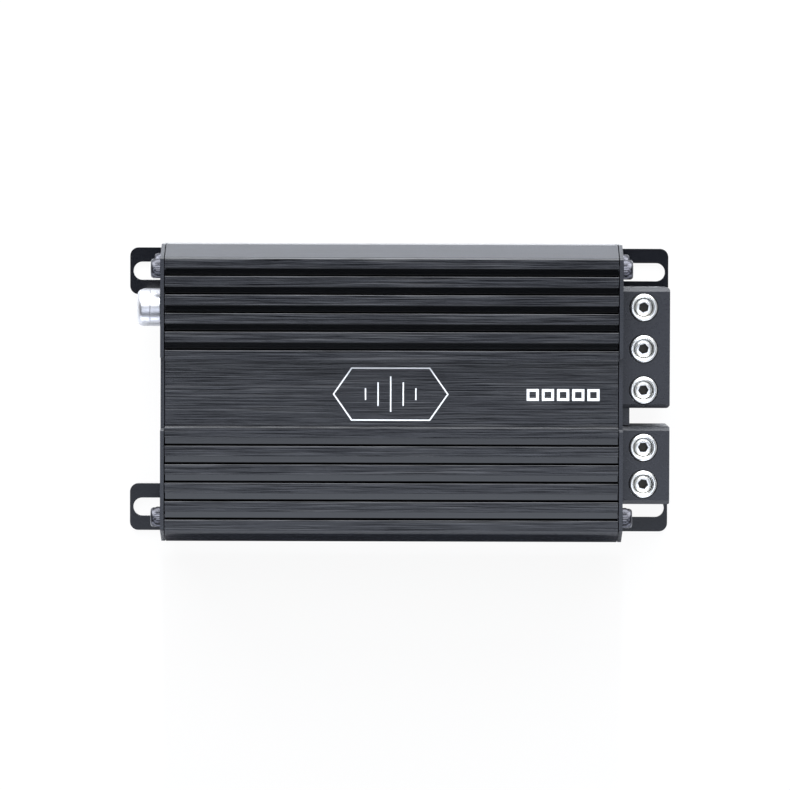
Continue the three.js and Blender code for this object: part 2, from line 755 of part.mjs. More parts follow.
// Two transistors on each side wall, with the pad behind them and the bar that clamps them to the wall.
function placeTransistors() {
  const { width, height, bottom, thickness } = TRANSISTOR;
  const firstX = BODY_MIDDLE_X - 9;
  const secondX = BODY_MIDDLE_X + 21;
  const frontOfBodies = INNER_HALF - PAD_THICKNESS - thickness - 0.2;
  [['rear', 1], ['front', -1]].forEach(([name, side]) => {
    place(`transistor_${name}_1`, transistor(firstX, side), blackPlastic);
    place(`transistor_${name}_2`, transistor(secondX, side), blackPlastic);
    const pad = sideBlock(
      side,
      [firstX - width / 2 - 2, INNER_HALF - PAD_THICKNESS, bottom - 0.5],
      [secondX + width / 2 + 2, INNER_HALF - 0.05, bottom + height + 0.5],
    );
    place(`thermal_pad_${name}`, pad, greyPad);
    const bar = sideBlock(
      side,
      [firstX - width / 2 - 4, frontOfBodies - 2, bottom + 6],
      [secondX + width / 2 + 4, frontOfBodies, bottom + 12],
    );
    place(`clamp_bar_${name}`, bar, zincSteel);
  });
}

// Wound ring core standing flat on the board.
function woundRing(radius, innerRadius, height) {
  const edge = 1.5;
  const profile = [
    [innerRadius, edge],
    [innerRadius + edge, 0],
    [radius - edge, 0],
    [radius, edge],
    [radius, height - edge],
    [radius - edge, height],
    [innerRadius + edge, height],
    [innerRadius, height - edge],
    [innerRadius, edge],
  ];
  return turnedZ(profile, 20);
}

function capacitor(radius, height) {
  const profile = [
    [0, 0],
    [radius, 0],
    [radius, height - 1],
    [radius - 0.6, height],
    [0, height],
  ];
  return turnedZ(profile, 14);
}

function placeElectronics() {
  place('circuit_board', circuitBoard(), greenBoard);
  placeTransistors();
  const parts = [
    ['power_transformer', woundRing(13.5, 5, 13), ferriteWinding, -12, -8],
    ['output_inductor', woundRing(11, 4, 12), ferriteWinding, 40, -15],
    ['supply_capacitor_1', capacitor(8, 24), capacitorSleeve, 41, 14],
    ['supply_capacitor_2', capacitor(8, 24), capacitorSleeve, 23, 14],
  ];
  parts.forEach(([name, geometry, material, fromMiddle, y]) => {
    place(name, geometry, material).position.set(BODY_MIDDLE_X + fromMiddle, y, BOARD_TOP + 0.2);
  });
}

// ---------------------------------------------------------------- assembly

place('heatsink_case', heatsinkCase(), blackAnodised);
place('base_plate', basePlate(), blackSteel);
place('end_plate_input', endPlateInput(), blackAnodised);
place('end_plate_power', endPlatePower(), blackAnodised);
placeEndScrews();
placeBaseScrews();
placeBoardScrews();
place('power_terminal_cover', powerTerminalCover(), greyPlastic);
place('speaker_terminal_cover', terminalCover(SPEAKER_COVER_Y, SPEAKER_TERMINALS_Y), greyPlastic);
placeTerminals('power', POWER_TERMINALS_Y);
placeTerminals('speaker', SPEAKER_TERMINALS_Y);
placeJacks();
place('jack_housing', jackHousing(), blackPlastic);
placeControls();
place('remote_level_socket', remoteSocket(), blackPlastic);
place('status_light', statusLight(), clearLens);
placeElectronics();

export default amplifier;
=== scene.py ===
"""Compact car amplifier: detailed visual model, materials, light and camera, over the CAD frame."""

import math

import bmesh
import bpy
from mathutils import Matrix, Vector
from mathutils.geometry import tessellate_polygon


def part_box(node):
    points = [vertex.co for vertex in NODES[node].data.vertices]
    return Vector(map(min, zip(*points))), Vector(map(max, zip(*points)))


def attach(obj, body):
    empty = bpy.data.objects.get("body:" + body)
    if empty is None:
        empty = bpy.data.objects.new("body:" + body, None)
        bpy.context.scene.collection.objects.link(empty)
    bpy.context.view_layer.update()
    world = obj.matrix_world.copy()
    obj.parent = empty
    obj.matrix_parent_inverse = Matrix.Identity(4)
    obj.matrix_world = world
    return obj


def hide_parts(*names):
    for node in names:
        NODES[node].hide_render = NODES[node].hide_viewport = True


MM = 0.001
MOST_SLOTS = 4  # materials on one piece

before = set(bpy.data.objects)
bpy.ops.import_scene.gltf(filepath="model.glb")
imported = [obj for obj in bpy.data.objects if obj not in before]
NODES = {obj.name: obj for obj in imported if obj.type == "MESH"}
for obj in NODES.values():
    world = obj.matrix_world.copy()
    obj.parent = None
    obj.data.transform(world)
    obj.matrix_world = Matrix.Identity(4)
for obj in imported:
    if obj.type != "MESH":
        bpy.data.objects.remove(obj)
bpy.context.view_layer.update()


# ------------------------------------------------------------------ camera

TOP_Z = 38.0
TARGET = Vector((-1.25, -0.12, TOP_Z))
DISTANCE = 1500.0
TILT = math.radians(2.2)
ROLL = math.radians(0.17)
SENSOR = 36.0
FOCAL_PIXELS = 5562.0
IMAGE_PIXELS = 790.0


def make_camera():
    """Looks almost straight down at the fin tops, leaning a little to the rear."""
    data = bpy.data.cameras.new("camera")
    camera = bpy.data.objects.new("camera", data)
    bpy.context.scene.collection.objects.link(camera)
    data.sensor_width = SENSOR
    data.lens = FOCAL_PIXELS / IMAGE_PIXELS * SENSOR
    data.clip_start = 0.1
    data.clip_end = 20
    offset = Vector((0, math.sin(TILT), math.cos(TILT))) * DISTANCE
    camera.location = (TARGET + offset) * MM
    camera.rotation_euler = (-TILT, 0, ROLL)
    bpy.context.scene.camera = camera


# ------------------------------------------------------------------ mesh tools


def new_object(name, mesh):
    piece = bpy.data.objects.new(name, mesh)
    bpy.context.scene.collection.objects.link(piece)
    return piece


def mesh_from(name, vertices, faces, face_materials=None):
    """A mesh from millimetre points, with its faces turned outwards."""
    mesh = bpy.data.meshes.new(name)
    mesh.from_pydata([Vector(v) * MM for v in vertices], [], faces)
    if face_materials:
        mesh.polygons.foreach_set("material_index", face_materials)
    work = bmesh.new()
    work.from_mesh(mesh)
    bmesh.ops.recalc_face_normals(work, faces=work.faces)
    work.to_mesh(mesh)
    work.free()
    return mesh


def swept(name, loops, start, end, to_point, wall_material=None):
    """Closed loops of 2-D points swept from start to end; the first loop is the outside and the
    others are holes. to_point places (a, b, along). wall_material(a, b) picks a wall's slot."""
    vertices = [to_point(a, b, along) for along in (start, end) for loop in loops for a, b in loop]
    count = sum(len(loop) for loop in loops)
    faces = []
    slots = []
    first = 0
    for loop in loops:
        size = len(loop)
        for i in range(size):
            j = (i + 1) % size
            faces.append((first + i, first + j, count + first + j, count + first + i))
            middle = [(loop[i][k] + loop[j][k]) / 2 for k in (0, 1)]
            slots.append(wall_material(*middle) if wall_material else 0)
        first += size
    caps = tessellate_polygon([[Vector((a, b, 0)) for a, b in loop] for loop in loops])
    for cap in caps:
        faces.append(tuple(cap))
        faces.append(tuple(count + i for i in cap))
        slots += [0, 0]
    return new_object(name, mesh_from(name, vertices, faces, slots))


def along_x(a, b, along):
    return (along, a, b)


def along_z(a, b, along):
    return (a, b, along)


def rounded(points, radius, steps=3):
    """The corners of a closed 2-D outline rounded with arcs. A corner's third value is its own radius."""
    corners = [Vector(point[:2]) for point in points]
    result = []
    for i, corner in enumerate(corners):
        before = corners[i - 1] - corner
        after = corners[(i + 1) % len(corners)] - corner
        turn = before.angle(after)
        own = points[i][2] if len(points[i]) > 2 else radius
        if turn > math.radians(170) or own == 0:
            result.append(tuple(corner))
            continue
        reach = min(own / math.tan(turn / 2), before.length * 0.499, after.length * 0.499)
        first = corner + before.normalized() * reach
        last = corner + after.normalized() * reach
        towards = (before.normalized() + after.normalized()).normalized()
        centre = corner + towards * reach / math.cos(turn / 2)
        start = math.atan2(*reversed(first - centre))
        sweep = math.remainder(math.atan2(*reversed(last - centre)) - start, 2 * math.pi)
        size = (first - centre).length
        for step in range(steps + 1):
            angle = start + sweep * step / steps
            result.append((centre.x + size * math.cos(angle), centre.y + size * math.sin(angle)))
    return result


def circle(a, b, radius, segments=40):
    angles = [2 * math.pi * i / segments for i in range(segments)]
    return [(a + radius * math.cos(t), b + radius * math.sin(t)) for t in angles]


def turned(name, profile, place, axis="Z", segments=64):
    """A closed solid of revolution from (radius, height) points that start and end on the axis,
    or a ring where they close on themselves. A third value is the depth of knurling on that row."""
    ring = profile[0] == profile[-1]
    points = profile[:-1] if ring else profile
    vertices = []
    rows = []
    for radius, height, *knurl in points:
        if radius == 0:
            rows.append([len(vertices)])
            vertices.append((0, 0, height))
            continue
        rows.append(list(range(len(vertices), len(vertices) + segments)))
        for i, (a, b) in enumerate(circle(0, 0, radius, segments)):
            shrink = 1 - knurl[0] / radius if knurl and i % 2 else 1
            vertices.append((a * shrink, b * shrink, height))
    pairs = list(zip(rows, rows[1:] + ([rows[0]] if ring else [])))
    faces = []
    for low, high in pairs:
        for i in range(segments):
            j = (i + 1) % segments
            if len(low) == 1:
                faces.append((low[0], high[j], high[i]))
            elif len(high) == 1:
                faces.append((low[i], low[j], high[0]))
            else:
                faces.append((low[i], low[j], high[j], high[i]))
    if axis == "X":
        vertices = [(z, x, y) for x, y, z in vertices]
    if axis == "-X":
        vertices = [(-z, -x, y) for x, y, z in vertices]
    vertices = [Vector(v) + Vector(place) for v in vertices]
    return new_object(name, mesh_from(name, vertices, faces))


def apply_modifiers(piece):
    """Turns the piece with its modifiers into a plain mesh."""
    depsgraph = bpy.context.evaluated_depsgraph_get()
    mesh = bpy.data.meshes.new_from_object(piece.evaluated_get(depsgraph))
    old = piece.data
    piece.modifiers.clear()
    piece.data = mesh
    bpy.data.meshes.remove(old)


def clean(piece):
    """Merges points that a bevel or a cut left in one place, and drops faces without area."""
    nearest = 0.002 * MM
    work = bmesh.new()
    work.from_mesh(piece.data)
    bmesh.ops.remove_doubles(work, verts=work.verts, dist=nearest)
    bmesh.ops.dissolve_degenerate(work, edges=work.edges, dist=nearest)
    work.to_mesh(piece.data)
    work.free()


def carve(piece, *cutters):
    """Cuts the other objects away from piece and removes them; cut faces keep the cutter's slots."""
    for part in (piece, *cutters):
        while len(part.data.materials) < MOST_SLOTS:
            part.data.materials.append(None)
    for cutter in cutters:
        modifier = piece.modifiers.new("cut", "BOOLEAN")
        modifier.operation = "DIFFERENCE"
        modifier.solver = "EXACT"
        modifier.object = cutter
    apply_modifiers(piece)
    for cutter in cutters:
        bpy.data.objects.remove(cutter)


def fuse(piece, *others):
    """Joins the other objects to piece as one solid and removes them."""
    for other in others:
        modifier = piece.modifiers.new("join", "BOOLEAN")
        modifier.operation = "UNION"
        modifier.solver = "EXACT"
        modifier.object = other
    apply_modifiers(piece)
    for other in others:
        bpy.data.objects.remove(other)


def soften(piece, width):
    """Rounds the sharp edges by that width in mm."""
    modifier = piece.modifiers.new("edges", "BEVEL")
    modifier.width = width * MM
    modifier.segments = 2
    modifier.limit_method = "ANGLE"
    modifier.angle_limit = math.radians(30)
    modifier.harden_normals = False
    modifier.use_clamp_overlap = True


def shade(piece, angle=35):
    """Smooth shading that keeps sharp edges, and keeps flat faces flat beside rounded ones."""
    mesh = piece.data
    mesh.polygons.foreach_set("use_smooth", [True] * len(mesh.polygons))
    mesh.set_sharp_from_angle(angle=math.radians(angle))
    normals = piece.modifiers.new("normals", "WEIGHTED_NORMAL")
    normals.keep_sharp = True
    normals.weight = 60


def cuboid(name, low, high):
    """A plain block between two corners, used as a start for a piece or as a cutter."""
    (x0, y0, z0), (x1, y1, z1) = low, high
    loop = [(y0, z0), (y1, z0), (y1, z1), (y0, z1)]
    return swept(name, [loop], x0, x1, along_x)


def hex_prism(name, across_flats, place, low, high, axis="Z", turn=0.0):
    """Cutter for a hexagon socket; the faces it leaves take the second material slot."""
    radius = across_flats / math.sqrt(3)
    corners = [turn + math.pi / 3 * i for i in range(6)]
    loop = [(radius * math.cos(t), radius * math.sin(t)) for t in corners]
    x, y, z = place
    if axis == "Z":
        prism = swept(name, [loop], low, high, lambda a, b, h: (x + a, y + b, z + h))
    else:
        prism = swept(name, [loop], low, high, lambda a, b, h: (x + h, y + a, z + b))
    prism.data.polygons.foreach_set("material_index", [1] * len(prism.data.polygons))
    return prism


def dress(piece, materials, body, nodes, smooth=35):
    """Gives a finished piece its materials, body, CAD nodes and finish."""
    if not isinstance(materials, (list, tuple)):
        materials = [materials]
    clean(piece)
    slots = [face.material_index for face in piece.data.polygons]
    piece.data.materials.clear()
    for material in materials:
        piece.data.materials.append(material)
    piece.data.polygons.foreach_set("material_index", slots)
    shade(piece, smooth)
    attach(piece, body)
    if nodes:
        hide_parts(*nodes)
    return piece


# ------------------------------------------------------------------ material tools


class Nodes:
    """Short calls for building one material's node tree."""

    def __init__(self, name):
        self.material = bpy.data.materials.new(name)
        self.material.use_nodes = True
        self.tree = self.material.node_tree
        self.shader = self.tree.nodes["Principled BSDF"]

    def add(self, kind, **values):
        node = self.tree.nodes.new(kind)
        for key, value in values.items():
            if hasattr(node, key):
                setattr(node, key, value)
            else:
                node.inputs[key.replace("_", " ").title()].default_value = value
        return node

    def link(self, output, target):
        self.tree.links.new(output, target)

    def coordinates(self, scale=(1, 1, 1)):
        source = self.add("ShaderNodeTexCoord")
        mapping = self.add("ShaderNodeMapping")
        mapping.inputs["Scale"].default_value = scale
        self.link(source.outputs["Object"], mapping.inputs["Vector"])
        return mapping.outputs["Vector"]

    def noise(self, vector, scale, detail=3.0, roughness=0.5):
        node = self.add("ShaderNodeTexNoise", scale=scale, detail=detail, roughness=roughness)
        self.link(vector, node.inputs["Vector"])
        return node.outputs["Fac"]

    def ramp(self, value, stops):
        """A colour ramp; each stop is (position, colour or grey level)."""
        node = self.add("ShaderNodeValToRGB")
        elements = node.color_ramp.elements
        while len(elements) < len(stops):
            elements.new(0.5)
        for element, (position, colour) in zip(elements, stops):
            element.position = position
            rgb = colour if isinstance(colour, tuple) else (colour, colour, colour)
            element.color = (*rgb, 1)
        self.link(value, node.inputs["Fac"])
        return node.outputs["Color"]

    def maths(self, operation, first, second):
        node = self.add("ShaderNodeMath", operation=operation)
        for socket, value in zip(node.inputs, (first, second)):
            if isinstance(value, (int, float)):
                socket.default_value = value
            else:
                self.link(value, socket)
        return node.outputs["Value"]

    def bump(self, height, strength, distance):
        node = self.add("ShaderNodeBump", strength=strength, distance=distance)
        self.link(height, node.inputs["Height"])
        return node.outputs["Normal"]

    def set(self, **values):
        for key, value in values.items():
            self.shader.inputs[key.replace("_", " ")].default_value = value

    def drive(self, **links):
        for key, output in links.items():
            self.link(output, self.shader.inputs[key.replace("_", " ")])


# ------------------------------------------------------------------ materials


def brushed_anodised(name, low, high, rough, streaks):
    """Black anodised aluminium brushed along X: fine streaks, with a few longer brighter scratches."""
    m = Nodes(name)
    fine = m.noise(m.coordinates((70, 3400, 3400)), 1.0, 3.0, 0.6)
    long = m.noise(m.coordinates((34, 2300, 2300)), 1.0, 1.0, 0.5)
    scratch = m.ramp(long, [(0.0, 0.0), (0.56, 0.0), (0.72, 1.0)])
    base = m.ramp(fine, [(0.34, low), (0.66, high)])
    mix = m.add("ShaderNodeMix", data_type="RGBA", blend_type="ADD")
    mix.inputs[0].default_value = streaks
    m.link(base, mix.inputs[6])
    m.link(scratch, mix.inputs[7])
    height = m.maths("ADD", fine, m.maths("MULTIPLY", long, 1.4))
    m.drive(
        Base_Color=mix.outputs[2],
        Roughness=m.ramp(fine, [(0.36, rough - 0.06), (0.64, rough + 0.08)]),
        Specular_IOR_Level=m.ramp(fine, [(0.36, 0.34), (0.64, 0.66)]),
        Normal=m.bump(height, 0.5, 0.00005),
    )
    m.set(Metallic=0.0)
    return m.material


def smooth_anodised(name, colour, rough):
    """Black anodised aluminium as extruded: even, with faint die lines along X."""
    m = Nodes(name)
    lines = m.noise(m.coordinates((6, 5200, 5200)), 1.0, 2.0, 0.5)
    cloud = m.noise(m.coordinates(), 160.0, 3.0, 0.5)
    r, g, b = colour
    low = (r * 0.8, g * 0.8, b * 0.8)
    high = (r * 1.2, g * 1.2, b * 1.2)
    m.drive(
        Base_Color=m.ramp(cloud, [(0.3, low), (0.7, high)]),
        Roughness=m.ramp(lines, [(0.3, rough * 0.85), (0.7, rough * 1.15)]),
        Normal=m.bump(lines, 0.06, 0.00001),
    )
    m.set(Metallic=0.0, Specular_IOR_Level=0.5)
    return m.material


def powder_coat(name, colour, rough):
    """Semi-matt black coating with a fine orange-peel grain."""
    m = Nodes(name)
    grain = m.noise(m.coordinates(), 2600.0, 3.0, 0.55)
    cloud = m.noise(m.coordinates(), 90.0, 4.0, 0.6)
    r, g, b = colour
    low = (r * 0.82, g * 0.82, b * 0.82)
    high = (r * 1.18, g * 1.18, b * 1.18)
    m.drive(
        Base_Color=m.ramp(cloud, [(0.3, low), (0.7, high)]),
        Roughness=m.ramp(grain, [(0.2, rough - 0.06), (0.8, rough + 0.08)]),
        Normal=m.bump(grain, 0.25, 0.00003),
    )
    m.set(Metallic=0.0, Specular_IOR_Level=0.3)
    return m.material


def moulded_plastic(name, colour, rough, grain_size=1500.0):
    """Plastic from a spark-eroded mould: an even fine grain and slight unevenness of colour."""
    m = Nodes(name)
    grain = m.noise(m.coordinates(), grain_size, 4.0, 0.6)
    cloud = m.noise(m.coordinates(), 70.0, 3.0, 0.5)
    r, g, b = colour
    low = (r * 0.88, g * 0.88, b * 0.88)
    high = (r * 1.1, g * 1.1, b * 1.1)
    m.drive(
        Base_Color=m.ramp(cloud, [(0.3, low), (0.7, high)]),
        Roughness=m.ramp(grain, [(0.2, rough - 0.08), (0.8, rough + 0.08)]),
        Normal=m.bump(grain, 0.3, 0.00005),
    )
    m.set(Metallic=0.0, Specular_IOR_Level=0.5)
    return m.material


def plated_metal(name, colour, rough, lathe_marks=0.1):
    """Plated turned metal with faint tool marks and slight tarnish."""
    m = Nodes(name)
    marks = m.noise(m.coordinates((1, 1, 6)), 1400.0, 3.0, 0.6)
    tarnish = m.noise(m.coordinates(), 220.0, 4.0, 0.6)
    r, g, b = colour
    low = (r * 0.86, g * 0.85, b * 0.83)
    m.drive(
        Base_Color=m.ramp(tarnish, [(0.35, low), (0.6, colour)]),
        Roughness=m.ramp(tarnish, [(0.3, rough + 0.08), (0.7, rough - 0.04)]),
        Normal=m.bump(marks, lathe_marks, 0.00002),
    )
    m.set(Metallic=1.0)
    return m.material


def printed_ink(name, colour):
    """Screen-printed ink: matt, with small differences in thickness."""
    m = Nodes(name)
    grain = m.noise(m.coordinates(), 3000.0, 3.0, 0.6)
    r, g, b = colour
    low = (r * 0.88, g * 0.88, b * 0.88)
    m.drive(
        Base_Color=m.ramp(grain, [(0.3, low), (0.55, colour)]),
        Roughness=m.ramp(grain, [(0.3, 0.45), (0.7, 0.6)]),
    )
    return m.material


def circuit_laminate():
    """Green solder mask over copper tracks that run in straight lines."""
    m = Nodes("circuit_laminate")
    tracks = m.add("ShaderNodeTexBrick", scale=90.0)
    tracks.inputs["Mortar Size"].default_value = 0.012
    tracks.inputs["Color1"].default_value = (0.012, 0.10, 0.04, 1)
    tracks.inputs["Color2"].default_value = (0.016, 0.13, 0.055, 1)
    tracks.inputs["Mortar"].default_value = (0.03, 0.21, 0.08, 1)
    m.link(m.coordinates(), tracks.inputs["Vector"])
    weave = m.noise(m.coordinates(), 1800.0, 2.0, 0.5)
    m.drive(
        Base_Color=tracks.outputs["Color"],
        Roughness=m.ramp(weave, [(0.3, 0.28), (0.7, 0.42)]),
        Normal=m.bump(tracks.outputs["Fac"], 0.2, 0.00004),
    )
    return m.material


def copper_winding():
    """Enamelled copper wire wound closely: bands across the ring, dark between the turns and bright on
    them, which is painted shade and painted highlight of the round wires.
    """
    m = Nodes("copper_winding")
    wave = m.add("ShaderNodeTexWave", scale=420.0, distortion=2.0, detail=1.0)
    m.link(m.coordinates(), wave.inputs["Vector"])
    m.drive(
        Base_Color=m.ramp(wave.outputs["Fac"], [(0.1, (0.16, 0.045, 0.014)), (0.8, (0.56, 0.2, 0.07))]),
        Roughness=m.ramp(wave.outputs["Fac"], [(0.1, 0.5), (0.8, 0.25)]),
        Normal=m.bump(wave.outputs["Fac"], 0.6, 0.0003),
    )
    m.set(Metallic=0.7)
    return m.material


def clear_lens():
    """Water-clear moulded lens of the status light."""
    m = Nodes("clear_lens")
    haze = m.noise(m.coordinates(), 900.0, 2.0, 0.5)
    m.drive(
        Base_Color=m.ramp(haze, [(0.3, (0.72, 0.8, 0.86)), (0.7, (0.82, 0.88, 0.92))]),
        Roughness=m.ramp(haze, [(0.3, 0.06), (0.7, 0.14)]),
    )
    m.set(Transmission_Weight=0.7, IOR=1.5)
    return m.material


def make_materials():
    return {
        "fin_top": brushed_anodised(
            "brushed_black_fin", (0.0008, 0.0009, 0.0016), (0.0065, 0.007, 0.0098), 0.185, 0.028
        ),
        # Groove floors: a darker colour than the shoulders of the same extrusion, which is painted shade in
        # the grooves.
        "groove": smooth_anodised("black_groove_painted_shade", (0.0012, 0.0015, 0.0028), 0.07),
        "shoulder": smooth_anodised("smooth_black_shoulder", (0.009, 0.01, 0.014), 0.24),
        # Reliefs: a darker, rougher colour than the rest of the extrusion, which is painted shade in the
        # narrow slots at the foot of the grooves.
        "relief": smooth_anodised("painted_shade_relief", (0.002, 0.002, 0.002), 0.5),
        "end_plate": smooth_anodised("black_end_plate", (0.010, 0.011, 0.015), 0.28),
        "steel": powder_coat("black_coated_steel", (0.0015, 0.0018, 0.0035), 0.17),
        "cover": moulded_plastic("grey_moulded_plastic", (0.0085, 0.0092, 0.013), 0.3),
        "black_plastic": moulded_plastic("black_moulded_plastic", (0.015, 0.015, 0.017), 0.45),
        "nickel": plated_metal("bright_nickel", (0.9, 0.9, 0.88), 0.26),
        "satin_nickel": plated_metal("satin_nickel", (0.55, 0.55, 0.57), 0.34),
        "dark_chrome": plated_metal("dark_chrome", (0.075, 0.075, 0.085), 0.24),
        # The hex socket bores take a dark colour: painted shade inside the sockets of the plated screws.
        "socket": plated_metal("socket_bore_painted_shade", (0.05, 0.047, 0.042), 0.4),
        "contact_gold": plated_metal("gold_contact", (0.85, 0.62, 0.25), 0.25),
        "zinc": plated_metal("zinc_plated_steel", (0.62, 0.63, 0.65), 0.36),
        "white_plastic": moulded_plastic("white_moulded_plastic", (0.8, 0.8, 0.77), 0.45),
        "red_plastic": moulded_plastic("red_moulded_plastic", (0.42, 0.012, 0.01), 0.42),
        "ink": printed_ink("white_printed_ink", (0.78, 0.79, 0.8)),
        "board": circuit_laminate(),
        "winding": copper_winding(),
        "sleeve": moulded_plastic("capacitor_sleeve", (0.014, 0.022, 0.06), 0.35, 700.0),
        "pad": moulded_plastic("grey_thermal_pad", (0.34, 0.35, 0.36), 0.75, 2400.0),
        "lens": clear_lens(),
    }


# ------------------------------------------------------------------ places taken from the frame


def box_mm(node):
    low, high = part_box(node)
    return low / MM, high / MM


def middle_of(node):
    low, high = box_mm(node)
    return (low + high) / 2


# ------------------------------------------------------------------ casing

PANEL_HALF = 9.0
PANEL_Z = 35.0
FIN_WIDTH = 2.8
FIN_PITCH = 5.0
FINS_PER_SIDE = 6
FLOOR_Z = 34.5
SHOULDER_TOP_Y = PANEL_HALF + FIN_PITCH * (FINS_PER_SIDE - 1) + FIN_WIDTH
SHOULDER_BOTTOM_Z = 28.0
RELIEF_WIDTH = 0.3
RELIEF_DEPTH = 1.1
WALL = 3.0
EDGE = 0.16
SHOULDER_RADIUS = 0.7
FRONT_CORNER_RADIUS = 0.5
FRONT_BULGE = (1.3, 1.2, 3)  # the rounded front shoulder: outwards, downwards, radius
END_SCREW_PLACES = ("upper_rear", "upper_front", "lower_rear", "lower_front")


def relief(y):
    """Narrow slot at the front foot of a groove, from the fin's wall to the groove's floor, in +y order."""
    bottom = FLOOR_Z - RELIEF_DEPTH
    return [(y, bottom), (y + RELIEF_WIDTH, bottom), (y + RELIEF_WIDTH, FLOOR_Z)]


def case_top():
    """The top of the case from the front shoulder to the rear shoulder, as (y, z) points."""
    points = []
    top = TOP_Z
    for fin in reversed(range(FINS_PER_SIDE)):
        inner = PANEL_HALF + fin * FIN_PITCH
        outer_radius = FRONT_CORNER_RADIUS if fin == FINS_PER_SIDE - 1 else EDGE
        points += [(-inner - FIN_WIDTH, top, outer_radius), (-inner, top)]
        if fin > 0:
            points += relief(-inner)
            points.append((-inner + FIN_PITCH - FIN_WIDTH, FLOOR_Z))
    points += [(-PANEL_HALF, PANEL_Z), (PANEL_HALF, PANEL_Z)]
    for fin in range(FINS_PER_SIDE):
        inner = PANEL_HALF + fin * FIN_PITCH
        outer_radius = SHOULDER_RADIUS if fin == FINS_PER_SIDE - 1 else EDGE
        points += [(inner, top), (inner + FIN_WIDTH, top, outer_radius)]
        if fin < FINS_PER_SIDE - 1:
            points += relief(inner + FIN_WIDTH)
            points.append((inner + FIN_PITCH, FLOOR_Z))
    return points


def case_inside(half_width, bottom):
    wall_y = half_width - WALL
    right = [
        (32.0, bottom),
        (32.0, 10.0),
        (wall_y, 10.0),
        (wall_y, 28.1),
        (30.6, 28.1),
        (30.6, 32.0),
    ]
    return right + [(-y, z) for y, z in reversed(right)]


def case_slot(y, z):
    """Material slot of a wall of the case: 0 shoulders and sides, 1 brushed tops, 2 grooves, 3 reliefs; 2
    and 3 carry painted shade.
    """
    on_top = abs(y) < SHOULDER_TOP_Y - 0.02
    if on_top and z > TOP_Z - 0.1:
        return 1
    if abs(y) < PANEL_HALF - 0.05 and z > PANEL_Z - 0.1:
        return 1
    if on_top and z > FLOOR_Z - 0.05:
        return 2
    if on_top and z > 32.2:
        return 3
    return 0


def heatsink(materials):
    """The finned extrusion, open below, with the screw ports of both ends."""
    low, high = box_mm("heatsink_case")
    half = high.y
    bottom = low.z
    outwards, downwards, bulge_radius = FRONT_BULGE
    outside = [
        (-half, bottom),
        (-half, SHOULDER_BOTTOM_Z, 2),
        (-SHOULDER_TOP_Y - outwards, high.z - downwards, bulge_radius),
        *case_top(),
        (half, SHOULDER_BOTTOM_Z, 2),
        (half, bottom),
    ]
    loop = rounded(outside, EDGE, 6) + case_inside(half, bottom)
    piece = swept("finned_case", [loop], low.x, high.x, along_x, case_slot)
    ports = []
    for place in END_SCREW_PLACES:
        centre = middle_of(f"end_screw_input_{place}")
        port = circle(centre.y, centre.z, 1.75, 24)
        for start, end in ((low.x - 1, low.x + 12), (high.x - 12, high.x + 1)):
            ports.append(swept("port", [port], start, end, along_x))
    carve(piece, *ports)
    # The grooves and reliefs take darker colours than the shoulders: painted shade in these recesses.
    finishes = [materials[key] for key in ("shoulder", "fin_top", "groove", "relief")]
    return dress(piece, finishes, "amplifier", ["heatsink_case"], 25)


def end_plate_outline(low, high):
    """Outline of an end plate as (y, z): it follows the case, with a notch over the middle panel."""
    half = high.y
    notch = PANEL_HALF + 0.75
    right = [
        (notch, PANEL_Z, 0.3),
        (notch, high.z, 0.3),
        (SHOULDER_TOP_Y, high.z, SHOULDER_RADIUS),
        (half, SHOULDER_BOTTOM_Z, 2),
        (half, low.z, 0.5),
    ]
    left = [(-y, z, radius) for y, z, radius in reversed(right)]
    return rounded(right + left, 0.3, 5)


def box_loop(y0, z0, y1, z1, radius):
    return rounded([(y0, z0), (y1, z0), (y1, z1), (y0, z1)], radius, 4)


def end_plate(end, holes, materials):
    node = f"end_plate_{end}"
    low, high = box_mm(node)
    for place in END_SCREW_PLACES:
        centre = middle_of(f"end_screw_{end}_{place}")
        holes.append(circle(centre.y, centre.z, 1.7, 24))
    piece = swept(f"{end}_end_panel", [end_plate_outline(low, high), *holes], low.x, high.x, along_x)
    soften(piece, 0.14)
    apply_modifiers(piece)
    return dress(piece, materials["end_plate"], "amplifier", [node])


def input_end_holes():
    holes = []
    for node, radius in (("jack_shell_upper", 4.6), ("jack_shell_lower", 4.6), ("status_light", 1.8)):
        centre = middle_of(node)
        z = STATUS_LIGHT_Z if node == "status_light" else centre.z
        holes.append(circle(centre.y, z, radius))
    for name in CONTROLS:
        centre = middle_of(f"{name}_control_shaft")
        holes.append(circle(centre.y, centre.z, 2.6))
    centre = middle_of("remote_level_socket")
    holes.append(box_loop(centre.y - 5.2, centre.z - 3.7, centre.y + 5.2, centre.z + 3.7, 0.4))
    return holes


def power_end_holes():
    holes = []
    for row in (POWER_TERMINALS, SPEAKER_TERMINALS):
        ys = [middle_of(node).y for node in row]
        z0 = box_mm(row[0])[0].z - 0.6
        holes.append(box_loop(min(ys) - 3.1, z0, max(ys) + 3.1, z0 + 3.6, 0.3))
    return holes


SHEET = 1.5
EAR_WIDTH = 12.9
EAR_CORNER = 2.3
EAR_ROOT = 1.0
SLOT_WIDTH = 5.0
SLOT_CENTRE_Y = 32.6
SLOT_RIM = 0.9


